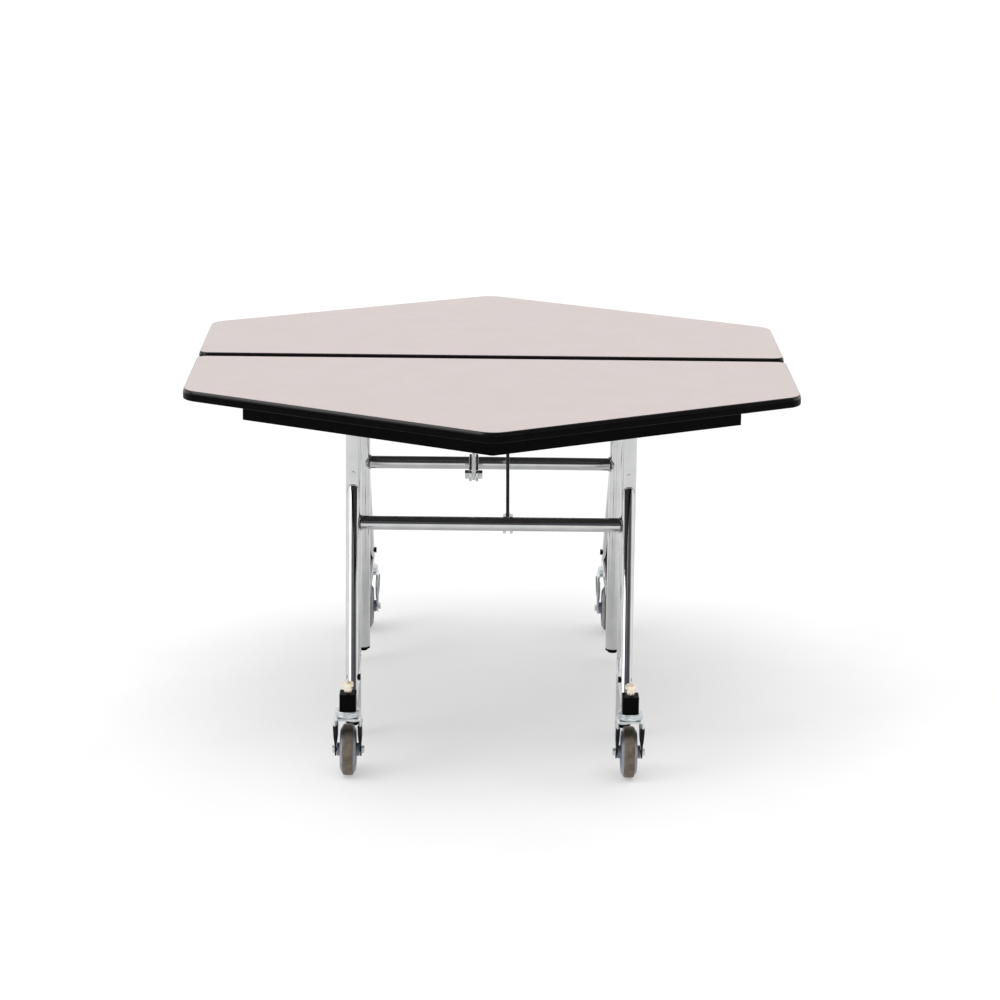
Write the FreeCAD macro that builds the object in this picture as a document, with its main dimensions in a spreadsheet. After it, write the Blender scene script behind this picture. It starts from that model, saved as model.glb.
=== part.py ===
import FreeCAD, Part
import os
import re

import Sketcher

# Frame: origin on the floor under the middle of the top, +Z up, X along the fold
# line, and the front half of the table on the -Y side.

# Driving dimensions in millimetres, one group for each family of pieces.
TOP_SIZES = {
    "top_width": 1219.2,
    "top_height": 737,
    "core_thickness": 19.6,
    "laminate_thickness": 1.2,
    "fold_gap": 32,
    "band_thickness": 3,
    "band_round": 1.2,
    "band_fit": 0.05,
    "outer_corner_radius": 50,
    "split_corner_radius": 22,
    "apron_inset": 37,
    "apron_depth": 32,
    "apron_thickness": 3,
    "apron_flange": 22,
    "apron_half_span": 488,
}
HINGE_SIZES = {
    "hinge_offset": 330,
    "hinge_length": 150,
    "hinge_axis_drop": 2.2,
    "hinge_leaf_reach": 58,
    "hinge_leaf_thickness": 3,
    "hinge_leaf_round": 8,
    "knuckle_radius": 6,
    "knuckle_gap": 0.6,
    "knuckle_relief": 1.2,
    "hinge_pin_diameter": 6,
}
LEG_SIZES = {
    "leg_half_spacing": 276,
    "leg_reach": 261,
    "leg_diameter": 31.75,
    "leg_wall": 2,
    "leg_pivot_drop": 26,
    "leg_overrun": 14,
    "weld_gap": 0.15,
    "bracket_wall": 3,
    "bracket_side_gap": 0.6,
    "bracket_length": 46,
    "bracket_lug": 16,
    "bracket_round": 13,
    "pivot_pin_diameter": 9.5,
    "pin_fit": 0.05,
    "pin_head_diameter": 15,
    "pin_head_height": 3,
    "crossbar_diameter": 28.6,
    "crossbar_wall": 2,
    "crossbar_height": 448,
    "leg_rivet_height": 553,
    "leg_rivet_diameter": 5,
    "leg_rivet_head_diameter": 9,
    "leg_rivet_head_height": 1.6,
    "foot_clearance": 21,
    "glide_diameter": 21,
    "glide_height": 4.5,
    "foot_flange_height": 4.5,
    "foot_plug_length": 18,
    "foot_plug_fit": 0.1,
}
STRUT_SIZES = {
    "strut_diameter": 22.2,
    "strut_wall": 2,
    "strut_top_height": 509,
    "strut_foot_reach": 490,
    "strut_toe": 8,
    "strut_bolt_diameter": 8,
    "strut_bolt_head_across": 12,
    "strut_bolt_head_height": 4,
    "strut_bolt_rise": 20,
    "strut_bolt_seat": 0.25,
    "outrigger_size": 25.4,
    "outrigger_wall": 2,
    "outrigger_height": 158,
    "outrigger_inset": 4,
}
LINK_SIZES = {
    "link_offset": 35,
    "link_bolt_inset": 61,
    "link_bolt_drop": 11,
    "link_pin_reach": 110,
    "link_pin_drop": 38,
    "link_width": 25,
    "link_thickness": 7,
    "ear_thickness": 6,
    "ear_gap": 0.5,
    "ear_half_height": 20,
    "ear_nose": 16,
    "ear_round": 14,
    "link_bolt_diameter": 10,
    "link_bolt_head_across": 17,
    "link_bolt_head_height": 9,
    "lock_wall": 3,
    "lock_slot_travel": 34,
    "lock_slot_height": 22,
    "lock_slot_rise": 2,
    "lock_slot_end": 5.6,
    "lock_slot_round": 5.8,
    "lock_margin": 9,
    "lock_round": 10,
    "link_washer_diameter": 28,
    "link_washer_height": 2.5,
}
CASTER_SIZES = {
    "socket_reach": 527,
    "socket_width": 32,
    "socket_depth": 36,
    "socket_height": 34,
    "socket_round": 2.5,
    "stem_diameter": 12,
    "stem_fit": 0.05,
    "stem_shank_height": 12,
    "stem_sleeve_diameter": 15,
    "stem_nut_across": 19,
    "stem_nut_height": 9,
    "stem_tip_height": 2,
    "stem_rivet_diameter": 20,
    "stem_rivet_height": 3.5,
    "race_diameter": 50,
    "race_height": 13,
    "race_chamfer": 1.5,
    "race_gap": 0.4,
    "fork_width": 53,
    "fork_wall": 3,
    "fork_crown_wall": 4,
    "fork_shoulder_round": 9,
    "fork_crown_half_depth": 24,
    "fork_crown_height": 15,
    "fork_nose": 13,
    "fork_nose_round": 12.5,
    "wheel_diameter": 101.6,
    "caster_trail": 22,
    "core_width": 31,
    "core_edge_radius": 40,
    "core_shoulder_radius": 47.5,
    "rim_inner_radius": 34,
    "web_width": 10,
    "hub_radius": 13,
    "hub_gap": 0.5,
    "tread_width": 21,
    "tread_seat_radius": 43,
    "tread_chamfer": 3,
    "tread_fit": 0.05,
    "axle_diameter": 8,
    "axle_head_across": 13,
    "axle_head_height": 5,
}
SIZES = {**TOP_SIZES, **HINGE_SIZES, **LEG_SIZES, **STRUT_SIZES, **LINK_SIZES, **CASTER_SIZES}

# Levels and places that follow from the driving dimensions.
UNDERSIDE = "(top_height - laminate_thickness - core_thickness)"
PIVOT_HEIGHT = f"({UNDERSIDE} - leg_pivot_drop)"
LEG_BOTTOM = "(foot_clearance + glide_height + foot_flange_height)"
LEG_TOP = f"({PIVOT_HEIGHT} + leg_overrun)"
HINGE_HEIGHT = f"({UNDERSIDE} - hinge_axis_drop)"
BRACKET_INNER = "(leg_diameter + 2 * bracket_side_gap)"
OUTRIGGER_TOP = "(outrigger_height + outrigger_size / 2)"
SOCKET_BACK = "(socket_reach - socket_depth / 2)"
SOCKET_BOTTOM = "(outrigger_height - socket_height / 2)"
SOCKET_TOP = "(outrigger_height + socket_height / 2)"
STRUT_TOP_REACH = "(leg_reach + leg_diameter / 2)"
STRUT_RUN = f"(strut_foot_reach - {STRUT_TOP_REACH})"
STRUT_RISE = f"(strut_top_height - {OUTRIGGER_TOP})"
STRUT_LENGTH = f"sqrt({STRUT_RUN} ^ 2 + {STRUT_RISE} ^ 2)"
LINK_BOLT_REACH = "(leg_reach - link_bolt_inset)"
LINK_BOLT_HEIGHT = "(crossbar_height - link_bolt_drop)"
LINK_PIN_HEIGHT = f"({UNDERSIDE} - link_pin_drop)"
LINK_RUN = f"({LINK_BOLT_REACH} + link_pin_reach)"
LINK_RISE = f"({LINK_PIN_HEIGHT} - {LINK_BOLT_HEIGHT})"
LINK_LENGTH = f"sqrt({LINK_RUN} ^ 2 + {LINK_RISE} ^ 2)"
EAR_STACK = "(link_thickness / 2 + ear_gap + ear_thickness)"
LOCK_INNER = "(link_thickness + 2 * ear_gap)"
RACE_BOTTOM = f"({SOCKET_BOTTOM} - race_height)"
CROWN_TOP = f"({RACE_BOTTOM} - race_gap)"
CROWN_BOTTOM = f"({CROWN_TOP} - fork_crown_wall)"
FORK_INNER = "(fork_width - 2 * fork_wall)"
WHEEL_REACH = "(socket_reach - caster_trail)"

ROUND_END_SHARE = 0.48
STRUT_OVERRUN_SHARE = 2.5
TOOL_WIDTH_SHARE = 4
KNUCKLE_COUNT = 5
HEX_SIDES = 6
PARALLEL_SHARE = 0.9999
SIDE_TURNS = {"front": 0, "rear": 180}
HANDS = {"left": -1, "right": 1}
X_AXIS = FreeCAD.Vector(1, 0, 0)
Y_AXIS = FreeCAD.Vector(0, 1, 0)
Z_AXIS = FreeCAD.Vector(0, 0, 1)
ALONG_X = FreeCAD.Rotation(Y_AXIS, 90)
ALONG_Z = FreeCAD.Rotation()
H_AXIS_INDEX = -1
V_AXIS_INDEX = -2

doc = FreeCAD.newDocument("FoldingTable")
sheet = doc.addObject("Spreadsheet::Sheet", "Sizes")
for row, (alias, number) in enumerate(SIZES.items(), start=1):
    sheet.set(f"A{row}", alias)
    sheet.set(f"B{row}", str(number))
    sheet.setAlias(f"B{row}", alias)
doc.recompute()

nodes = {}


# Expressions and bindings

def bound(text):
    """Write the sheet's name before each alias in an expression."""
    return re.sub(r"[a-z_]+", lambda word: f"Sizes.{word[0]}" if word[0] in SIZES else word[0], text)


def value(text):
    """The number that an expression has at the present sizes."""
    result = sheet.evalExpression(bound(text))
    return float(getattr(result, "Value", result))


def bind(item, prop, text):
    item.setExpression(prop, bound(text))


def move(item, x="0", y="0", z="0"):
    """Bind an object's place, and leave its turn as it is."""
    for axis, text in zip("xyz", (x, y, z)):
        bind(item, f"Placement.Base.{axis}", text)


def keep(item, node, side="front", x="0", y="0", z="0"):
    """Name a finished piece and turn it to its side of the table about the middle."""
    item.Label = node
    item.Placement = FreeCAD.Placement(FreeCAD.Vector(), FreeCAD.Rotation(Z_AXIS, SIDE_TURNS[side]))
    sign = 1 if side == "front" else -1
    move(item, f"{sign} * ({x})", f"{sign} * ({y})", z)
    nodes[node] = item


def hand_sign(side, hand):
    """The X sign of a left or right piece, written on the front side before its turn."""
    return HANDS[hand] * (1 if side == "front" else -1)


def hand_x(side, hand, inset="0"):
    return f"{hand_sign(side, hand)} * (leg_half_spacing - ({inset}))"


# Sketches and features

def sketch_on(body, plane, lift="0"):
    sketch = body.newObject("Sketcher::SketchObject", f"{body.Name}_sketch")
    support = next(item for item in body.Origin.OriginFeatures if item.Role == plane)
    sketch.AttachmentSupport = (support, "")
    sketch.MapMode = "FlatFace"
    bind(sketch, "AttachmentOffset.Base.z", lift)
    return sketch


def pin_point(sketch, geometry, point, corner):
    """Fix one point of a sketch at bound distances from its origin."""
    kinds = (("DistanceX", V_AXIS_INDEX), ("DistanceY", H_AXIS_INDEX))
    for (kind, axis), text in zip(kinds, corner):
        if text == "0":
            sketch.addConstraint(Sketcher.Constraint("PointOnObject", geometry, point, axis))
            continue
        rule = Sketcher.Constraint(kind, H_AXIS_INDEX, 1, geometry, point, value(text))
        bind(sketch, f"Constraints[{sketch.addConstraint(rule)}]", text)


def polygon(sketch, corners):
    count = len(corners)
    first = sketch.GeometryCount
    points = [FreeCAD.Vector(value(x), value(y), 0) for x, y in corners]
    for index in range(count):
        sketch.addGeometry(Part.LineSegment(points[index], points[(index + 1) % count]))
    for index in range(count):
        rule = Sketcher.Constraint("Coincident", first + index, 2, first + (index + 1) % count, 1)
        sketch.addConstraint(rule)
    for index, corner in enumerate(corners):
        pin_point(sketch, first + index, 1, corner)


def circle(sketch, x, y, radius):
    centre = FreeCAD.Vector(value(x), value(y), 0)
    index = sketch.addGeometry(Part.Circle(centre, Z_AXIS, value(radius)))
    pin_point(sketch, index, 3, (x, y))
    rule = sketch.addConstraint(Sketcher.Constraint("Radius", index, value(radius)))
    bind(sketch, f"Constraints[{rule}]", radius)


def new_body(name):
    return doc.addObject("PartDesign::Body", name)


def pad(body, sketch, length, symmetric=False):
    feature = body.newObject("PartDesign::Pad", f"{body.Name}_pad")
    feature.Profile = sketch
    if symmetric:
        feature.SideType = "Symmetric"
    bind(feature, "Length", length)
    doc.recompute()
    return feature


def pocket_through(body, sketch):
    before = body.Tip.Shape.Volume
    feature = body.newObject("PartDesign::Pocket", f"{body.Name}_pocket")
    feature.Profile = sketch
    feature.SideType = "Symmetric"
    feature.Type = "ThroughAll"
    doc.recompute()
    if feature.Shape.Volume >= before:
        raise RuntimeError(f"{feature.Name} cuts nothing")


def round_edges(body, radius, chosen):
    """Fillet the edges of the body's last feature that a test picks."""
    base = body.Tip
    names = [f"Edge{index}" for index, edge in enumerate(base.Shape.Edges, start=1) if chosen(edge)]
    feature = body.newObject("PartDesign::Fillet", f"{body.Name}_fillet")
    feature.Base = (base, names)
    bind(feature, "Radius", radius)
    doc.recompute()


def runs_along(edge, axis):
    if len(edge.Vertexes) != 2:
        return False
    span = edge.Vertexes[1].Point - edge.Vertexes[0].Point
    return edge.Curve.TypeId == "Part::GeomLine" and abs(span.normalize().dot(axis)) > PARALLEL_SHARE


def revolved(name, corners):
    """Turn a half profile about the X axis; its corners are (along X, radius)."""
    body = new_body(name)
    sketch = sketch_on(body, "XY_Plane")
    polygon(sketch, corners)
    feature = body.newObject("PartDesign::Revolution", f"{name}_turn")
    feature.Profile = sketch
    feature.ReferenceAxis = (sketch, ["H_Axis"])
    doc.recompute()
    return body


def cylinder(name, radius, length, turn, x="0", y="0", z="0"):
    item = doc.addObject("Part::Cylinder", name)
    bind(item, "Radius", radius)
    bind(item, "Height", length)
    item.Placement = FreeCAD.Placement(FreeCAD.Vector(), turn)
    move(item, x, y, z)
    return item


def hexagon(name, across, height, turn, x="0", y="0", z="0"):
    item = doc.addObject("Part::Prism", name)
    item.Polygon = HEX_SIDES
    bind(item, "Circumradius", f"({across}) / sqrt(3)")
    bind(item, "Height", height)
    item.Placement = FreeCAD.Placement(FreeCAD.Vector(), turn)
    move(item, x, y, z)
    return item


def block(name, size, low):
    item = doc.addObject("Part::Box", name)
    for prop, text in zip(("Length", "Width", "Height"), size):
        bind(item, prop, text)
    move(item, *low)
    return item


def fuse(name, pieces):
    item = doc.addObject("Part::MultiFuse", name)
    item.Shapes = pieces
    item.Refine = True
    return item


def cut(name, base, tools):
    item = doc.addObject("Part::Cut", name)
    item.Base = base
    item.Tool = tools[0] if len(tools) == 1 else fuse(f"{name}_tools", tools)
    return item


def group(name, pieces):
    item = doc.addObject("Part::Compound", name)
    item.Links = pieces
    return item


# Folding top

def tip_reach(inset):
    """How far the outline's front corner lies from the middle, moved in by an inset."""
    return f"((top_width - 2 * ({inset})) / sqrt(3))"


def half_outline(inset):
    flat = f"(top_width / 2 - ({inset}))"
    tip = tip_reach(inset)
    corner = f"({tip} - {flat} / sqrt(3))"
    split = f"(fold_gap / 2 + ({inset}))"
    return [
        (f"-{flat}", f"-{split}"),
        (f"-{flat}", f"-{corner}"),
        ("0", f"-{tip}"),
        (flat, f"-{corner}"),
        (flat, f"-{split}"),
    ]


def on_side(edge, inset):
    """Whether an upright edge stands at the end of the split side."""
    flat = value(f"top_width / 2 - ({inset})")
    split = value(f"-(fold_gap / 2 + ({inset}))")
    point = edge.Vertexes[0].Point
    near = value("split_corner_radius / 2")
    return abs(abs(point.x) - flat) < near and abs(point.y - split) < near


def half_prism(name, inset, bottom, height):
    """Half of the hexagon with rounded corners, moved in by an inset."""
    body = new_body(name)
    sketch = sketch_on(body, "XY_Plane", bottom)
    polygon(sketch, half_outline(inset))
    pad(body, sketch, height)
    upright = [edge for edge in body.Tip.Shape.Edges if runs_along(edge, Z_AXIS)]
    outer = [edge.hashCode() for edge in upright if not on_side(edge, inset)]
    round_edges(body, f"outer_corner_radius - ({inset})", lambda edge: edge.hashCode() in outer)
    round_edges(
        body,
        f"split_corner_radius - ({inset})",
        lambda edge: runs_along(edge, Z_AXIS) and on_side(edge, inset),
    )
    return body


def make_top(side):
    inset = "(band_thickness + band_fit)"
    keep(half_prism(f"{side}_core_body", inset, UNDERSIDE, "core_thickness"), f"{side}_top_core", side)
    seam = "top_height - laminate_thickness"
    laminate = half_prism(f"{side}_laminate_body", inset, seam, "laminate_thickness")
    keep(laminate, f"{side}_top_laminate", side)
    depth = "core_thickness + laminate_thickness"
    outer = half_prism(f"{side}_band_outer", "0", UNDERSIDE, depth)
    levels = (value(UNDERSIDE), value("top_height"))
    flat_rims = [
        edge.hashCode()
        for edge in outer.Tip.Shape.Edges
        if len({round(vertex.Z, 3) for vertex in edge.Vertexes}) == 1 and edge.Vertexes[0].Z in levels
    ]
    round_edges(outer, "band_round", lambda edge: edge.hashCode() in flat_rims)
    low = f"{UNDERSIDE} - band_thickness"
    inner = half_prism(f"{side}_band_inner", "band_thickness", low, f"{depth} + 2 * band_thickness")
    keep(cut(f"{side}_band_cut", outer, [inner]), f"{side}_edge_band", side)


def apron_y(inset, x):
    return f"-({tip_reach(inset)} - ({x}) / sqrt(3))"


def rail_outline(sign, near, far):
    """A straight rail beside the slanted edge, between two insets, mitred in the middle."""
    end = f"{sign} * apron_half_span"
    return [
        (end, apron_y(near, "apron_half_span")),
        ("0", apron_y(near, "0")),
        ("0", apron_y(far, "0")),
        (end, apron_y(far, "apron_half_span")),
    ]


def make_apron(side, hand):
    sign = hand_sign(side, hand)
    body = new_body(f"{side}_{hand}_apron_body")
    inner = "(apron_inset + apron_thickness)"
    skirt = sketch_on(body, "XY_Plane", f"{UNDERSIDE} - apron_depth")
    polygon(skirt, rail_outline(sign, "apron_inset", inner))
    pad(body, skirt, "apron_depth")
    flange = sketch_on(body, "XY_Plane", f"{UNDERSIDE} - apron_thickness")
    polygon(flange, rail_outline(sign, inner, f"{inner} + apron_flange"))
    pad(body, flange, "apron_thickness")
    keep(body, f"{side}_apron_{hand}", side)


# Brackets, pins and the fold hinge

def channel(name, inner, wall, length, depth):
    """A folded channel that hangs from the underside, open below and along Y."""
    body = new_body(name)
    sketch = sketch_on(body, "XZ_Plane")
    outer = f"(({inner}) / 2 + {wall})"
    polygon(sketch, [
        (f"-{outer}", "0"),
        (f"-{outer}", f"-({depth})"),
        (f"-({inner}) / 2", f"-({depth})"),
        (f"-({inner}) / 2", f"-{wall}"),
        (f"({inner}) / 2", f"-{wall}"),
        (f"({inner}) / 2", f"-({depth})"),
        (outer, f"-({depth})"),
        (outer, "0"),
    ])
    pad(body, sketch, length, symmetric=True)
    return body


def round_cheeks(body, radius, depth):
    level = value(f"{radius} / 2 - {depth}")
    round_edges(body, radius, lambda edge: runs_along(edge, X_AXIS) and edge.Vertexes[0].Z < level)


def pin_profile(half_length, radius, head_radius, head_height):
    return [
        (f"-({half_length} + {head_height})", "0"),
        (f"-({half_length} + {head_height})", head_radius),
        (f"-({half_length})", head_radius),
        (f"-({half_length})", radius),
        (half_length, radius),
        (half_length, head_radius),
        (f"{half_length} + {head_height}", head_radius),
        (f"{half_length} + {head_height}", "0"),
    ]


def make_leg_brackets(side):
    brackets = []
    pins = []
    depth = "(leg_pivot_drop + bracket_lug)"
    for hand in HANDS:
        name = f"{side}_{hand}_bracket"
        body = channel(name, BRACKET_INNER, "bracket_wall", "bracket_length", depth)
        hole = sketch_on(body, "YZ_Plane")
        circle(hole, "0", "-leg_pivot_drop", "pivot_pin_diameter / 2 + pin_fit")
        pocket_through(body, hole)
        round_cheeks(body, "bracket_round", depth)
        move(body, hand_x(side, hand), "-leg_reach", UNDERSIDE)
        brackets.append(body)
        half = f"({BRACKET_INNER} / 2 + bracket_wall)"
        profile = pin_profile(half, "pivot_pin_diameter / 2", "pin_head_diameter / 2", "pin_head_height")
        pin = revolved(f"{side}_{hand}_pin", profile)
        move(pin, hand_x(side, hand), "-leg_reach", PIVOT_HEIGHT)
        pins.append(pin)
    keep(group(f"{side}_brackets", brackets), f"{side}_leg_brackets", side)
    keep(group(f"{side}_pins", pins), f"{side}_pivot_pins", side)


def make_lock_bracket(side):
    """The slotted channel on a half that takes the other frame's link pin."""
    drop = "(link_pin_drop - lock_slot_rise)"
    depth = f"({drop} + lock_slot_height / 2 + lock_margin)"
    half = "(lock_slot_travel / 2 + lock_slot_end)"
    body = channel(f"{side}_lock_body", LOCK_INNER, "lock_wall", f"2 * ({half} + lock_margin)", depth)
    slot = sketch_on(body, "YZ_Plane")
    low = f"-({drop} + lock_slot_height / 2)"
    high = f"-({drop} - lock_slot_height / 2)"
    polygon(slot, [(f"-{half}", low), (half, low), (half, high), (f"-{half}", high)])
    pocket_through(body, slot)
    ends = value(half)
    levels = (value(low), value(high))
    near = value("lock_slot_round / 2")
    round_edges(
        body,
        "lock_slot_round",
        lambda edge: runs_along(edge, X_AXIS)
        and abs(abs(edge.Vertexes[0].Y) - ends) < near
        and min(abs(edge.Vertexes[0].Z - level) for level in levels) < near,
    )
    round_cheeks(body, "lock_round", depth)
    reach = "(link_pin_reach - lock_slot_travel / 2)"
    keep(body, f"{side}_lock_bracket", side, "-link_offset", f"-{reach}", UNDERSIDE)


def knuckle_start(index):
    return f"-hinge_length / 2 + {index} * hinge_length / {KNUCKLE_COUNT} + knuckle_gap / 2"


def make_hinge_leaf(name, first, x):
    """A leaf with every second knuckle, written for the half on the -Y side."""
    inner = "(knuckle_radius + knuckle_relief)"
    thick = "hinge_leaf_thickness"
    plate = new_body(f"{name}_plate")
    sketch = sketch_on(plate, "XY_Plane", f"{UNDERSIDE} - {thick}")
    polygon(sketch, [
        ("-hinge_length / 2", f"-{inner}"),
        ("-hinge_length / 2", "-hinge_leaf_reach"),
        ("hinge_length / 2", "-hinge_leaf_reach"),
        ("hinge_length / 2", f"-{inner}"),
    ])
    pad(plate, sketch, thick)
    outer = -value("hinge_leaf_reach")
    near = value("hinge_leaf_round / 2")
    round_edges(
        plate,
        "hinge_leaf_round",
        lambda edge: runs_along(edge, Z_AXIS) and abs(edge.Vertexes[0].Y - outer) < near,
    )
    pieces = [plate]
    length = f"hinge_length / {KNUCKLE_COUNT} - knuckle_gap"
    for index in range(first, KNUCKLE_COUNT, 2):
        start = knuckle_start(index)
        place = (start, "0", HINGE_HEIGHT)
        pieces.append(cylinder(f"{name}_knuckle", "knuckle_radius", length, ALONG_X, *place))
        web = (start, f"-({inner} + knuckle_relief)", f"{UNDERSIDE} - {thick}")
        pieces.append(block(f"{name}_web", (length, f"{inner} + knuckle_relief", thick), web))
    bore = cylinder(
        f"{name}_bore",
        "hinge_pin_diameter / 2 + pin_fit",
        "hinge_length * 2",
        ALONG_X,
        "-hinge_length",
        "0",
        HINGE_HEIGHT,
    )
    leaf = cut(f"{name}_leaf", fuse(f"{name}_solid", pieces), [bore])
    move(leaf, x)
    return leaf


def make_hinges():
    for side, first in (("front", 0), ("rear", 1)):
        leaves = [
            make_hinge_leaf(f"{side}_{hand}_hinge", first, f"{sign} * hinge_offset")
            for hand, sign in HANDS.items()
        ]
        keep(group(f"{side}_leaves", leaves), f"{side}_hinge_leaves", side)
    pins = []
    for hand, sign in HANDS.items():
        half = "(hinge_length / 2)"
        profile = pin_profile(half, "hinge_pin_diameter / 2", "knuckle_radius", "knuckle_gap * 3")
        pin = revolved(f"{hand}_hinge_pin", profile)
        move(pin, f"{sign} * hinge_offset", "0", HINGE_HEIGHT)
        pins.append(pin)
    keep(group("hinge_pin_pair", pins), "hinge_pins")


# Leg frames

def make_leg(side, hand):
    name = f"{side}_{hand}_leg"
    body = new_body(f"{name}_body")
    sketch = sketch_on(body, "XY_Plane", LEG_BOTTOM)
    circle(sketch, "0", "0", "leg_diameter / 2")
    circle(sketch, "0", "0", "leg_diameter / 2 - leg_wall")
    pad(body, sketch, f"{LEG_TOP} - {LEG_BOTTOM}")
    pivot = sketch_on(body, "YZ_Plane")
    circle(pivot, "0", PIVOT_HEIGHT, "pivot_pin_diameter / 2 + pin_fit")
    pocket_through(body, pivot)
    rivet = sketch_on(body, "XZ_Plane")
    circle(rivet, "0", "leg_rivet_height", "leg_rivet_diameter / 2 + pin_fit")
    pocket_through(body, rivet)
    keep(body, f"{side}_leg_{hand}", side, hand_x(side, hand), "-leg_reach")


def make_crossbar(side):
    name = f"{side}_crossbar"
    span = "2 * leg_half_spacing"
    start = ("-leg_half_spacing", "-leg_reach", "crossbar_height")
    outer = cylinder(f"{name}_outer", "crossbar_diameter / 2", span, ALONG_X, *start)
    tools = [cylinder(f"{name}_inner", "crossbar_diameter / 2 - crossbar_wall", span, ALONG_X, *start)]
    for hand in HANDS:
        place = (hand_x(side, hand), "-leg_reach")
        cope = ("leg_diameter / 2 + weld_gap", "crossbar_height * 2", ALONG_Z, *place)
        tools.append(cylinder(f"{name}_{hand}_cope", *cope))
    keep(cut(f"{name}_cut", outer, tools), name, side)


def make_strut(side, hand):
    """A tube that leans from the outrigger to the leg, coped where it is welded on."""
    name = f"{side}_{hand}_strut"
    lean = f"atan2({STRUT_RUN}; {STRUT_RISE})"
    beyond = f"(1 + strut_diameter / {STRUT_LENGTH})"
    length = f"{STRUT_LENGTH} + {STRUT_OVERRUN_SHARE} * strut_diameter"
    low = ("0", f"-{STRUT_RUN} * {beyond}", f"-{STRUT_RISE} * {beyond}")
    tubes = []
    for radius in ("strut_diameter / 2", "strut_diameter / 2 - strut_wall"):
        tube = cylinder(f"{name}_tube", radius, length, FreeCAD.Rotation(-X_AXIS, value(lean)), *low)
        bind(tube, "Placement.Rotation.Angle", lean)
        tubes.append(tube)
    toe = f"atan2(strut_toe; {STRUT_RISE})"
    leaning = cut(f"{name}_hollow", tubes[0], [tubes[1]])
    turn = FreeCAD.Rotation(Y_AXIS * hand_sign(side, hand), value(toe))
    leaning.Placement = FreeCAD.Placement(FreeCAD.Vector(), turn)
    bind(leaning, "Placement.Rotation.Angle", toe)
    move(leaning, hand_x(side, hand), f"-{STRUT_TOP_REACH}", "strut_top_height")
    width = f"{TOOL_WIDTH_SHARE} * strut_diameter"
    left = f"{hand_x(side, hand)} - {width} / 2"
    corner = (left, f"-strut_foot_reach - {width} / 2", f"{OUTRIGGER_TOP} - {width}")
    bolt = (left, *strut_bolt_axis(side, hand)[1:])
    cope = ("leg_diameter / 2 + weld_gap", LEG_TOP, ALONG_Z, hand_x(side, hand), "-leg_reach")
    tools = [
        block(f"{name}_seat", (width, width, width), corner),
        cylinder(f"{name}_bolt_hole", "strut_bolt_diameter / 2 + pin_fit", width, ALONG_X, *bolt),
        cylinder(f"{name}_cope", *cope),
    ]
    keep(cut(f"{name}_cut", leaning, tools), f"{side}_strut_{hand}", side)


def strut_bolt_axis(side, hand):
    """Where the cross bolt near the strut's foot crosses the strut's axis."""
    share = f"(1 - strut_bolt_rise / {STRUT_RISE})"
    reach = f"({STRUT_TOP_REACH} + {STRUT_RUN} * {share})"
    return hand_x(side, hand, f"strut_toe * {share}"), f"-{reach}", f"{OUTRIGGER_TOP} + strut_bolt_rise"


def make_outrigger(side, hand):
    name = f"{side}_{hand}_outrigger"
    x = hand_x(side, hand, "outrigger_inset")
    length = f"({SOCKET_BACK} - leg_reach)"
    bottom = "outrigger_height - outrigger_size / 2"
    outer = block(
        f"{name}_outer",
        ("outrigger_size", length, "outrigger_size"),
        (f"{x} - outrigger_size / 2", f"-{SOCKET_BACK}", bottom),
    )
    hollow = "(outrigger_size - 2 * outrigger_wall)"
    inner = block(
        f"{name}_inner",
        (hollow, length, hollow),
        (f"{x} - {hollow} / 2", f"-{SOCKET_BACK}", f"{bottom} + outrigger_wall"),
    )
    leg = (hand_x(side, hand), "-leg_reach")
    cope = ("leg_diameter / 2 + weld_gap", "outrigger_height * 2", ALONG_Z, *leg)
    tools = [inner, cylinder(f"{name}_cope", *cope)]
    keep(cut(f"{name}_cut", outer, tools), f"{side}_outrigger_{hand}", side)


def make_foot_caps(side):
    caps = []
    plug = "(leg_diameter / 2 - leg_wall - foot_plug_fit)"
    glide_top = "foot_clearance + glide_height"
    for hand in HANDS:
        body = revolved(f"{side}_{hand}_foot", [
            ("foot_clearance", "0"),
            ("foot_clearance", "glide_diameter / 2"),
            (glide_top, "glide_diameter / 2"),
            (glide_top, "leg_diameter / 2"),
            (LEG_BOTTOM, "leg_diameter / 2"),
            (LEG_BOTTOM, plug),
            (f"{LEG_BOTTOM} + foot_plug_length", plug),
            (f"{LEG_BOTTOM} + foot_plug_length", "0"),
        ])
        body.Placement = FreeCAD.Placement(FreeCAD.Vector(), FreeCAD.Rotation(Y_AXIS, -90))
        move(body, hand_x(side, hand), "-leg_reach")
        caps.append(body)
    keep(group(f"{side}_feet", caps), f"{side}_foot_caps", side)


# Links that keep the frames upright while the top folds

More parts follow.
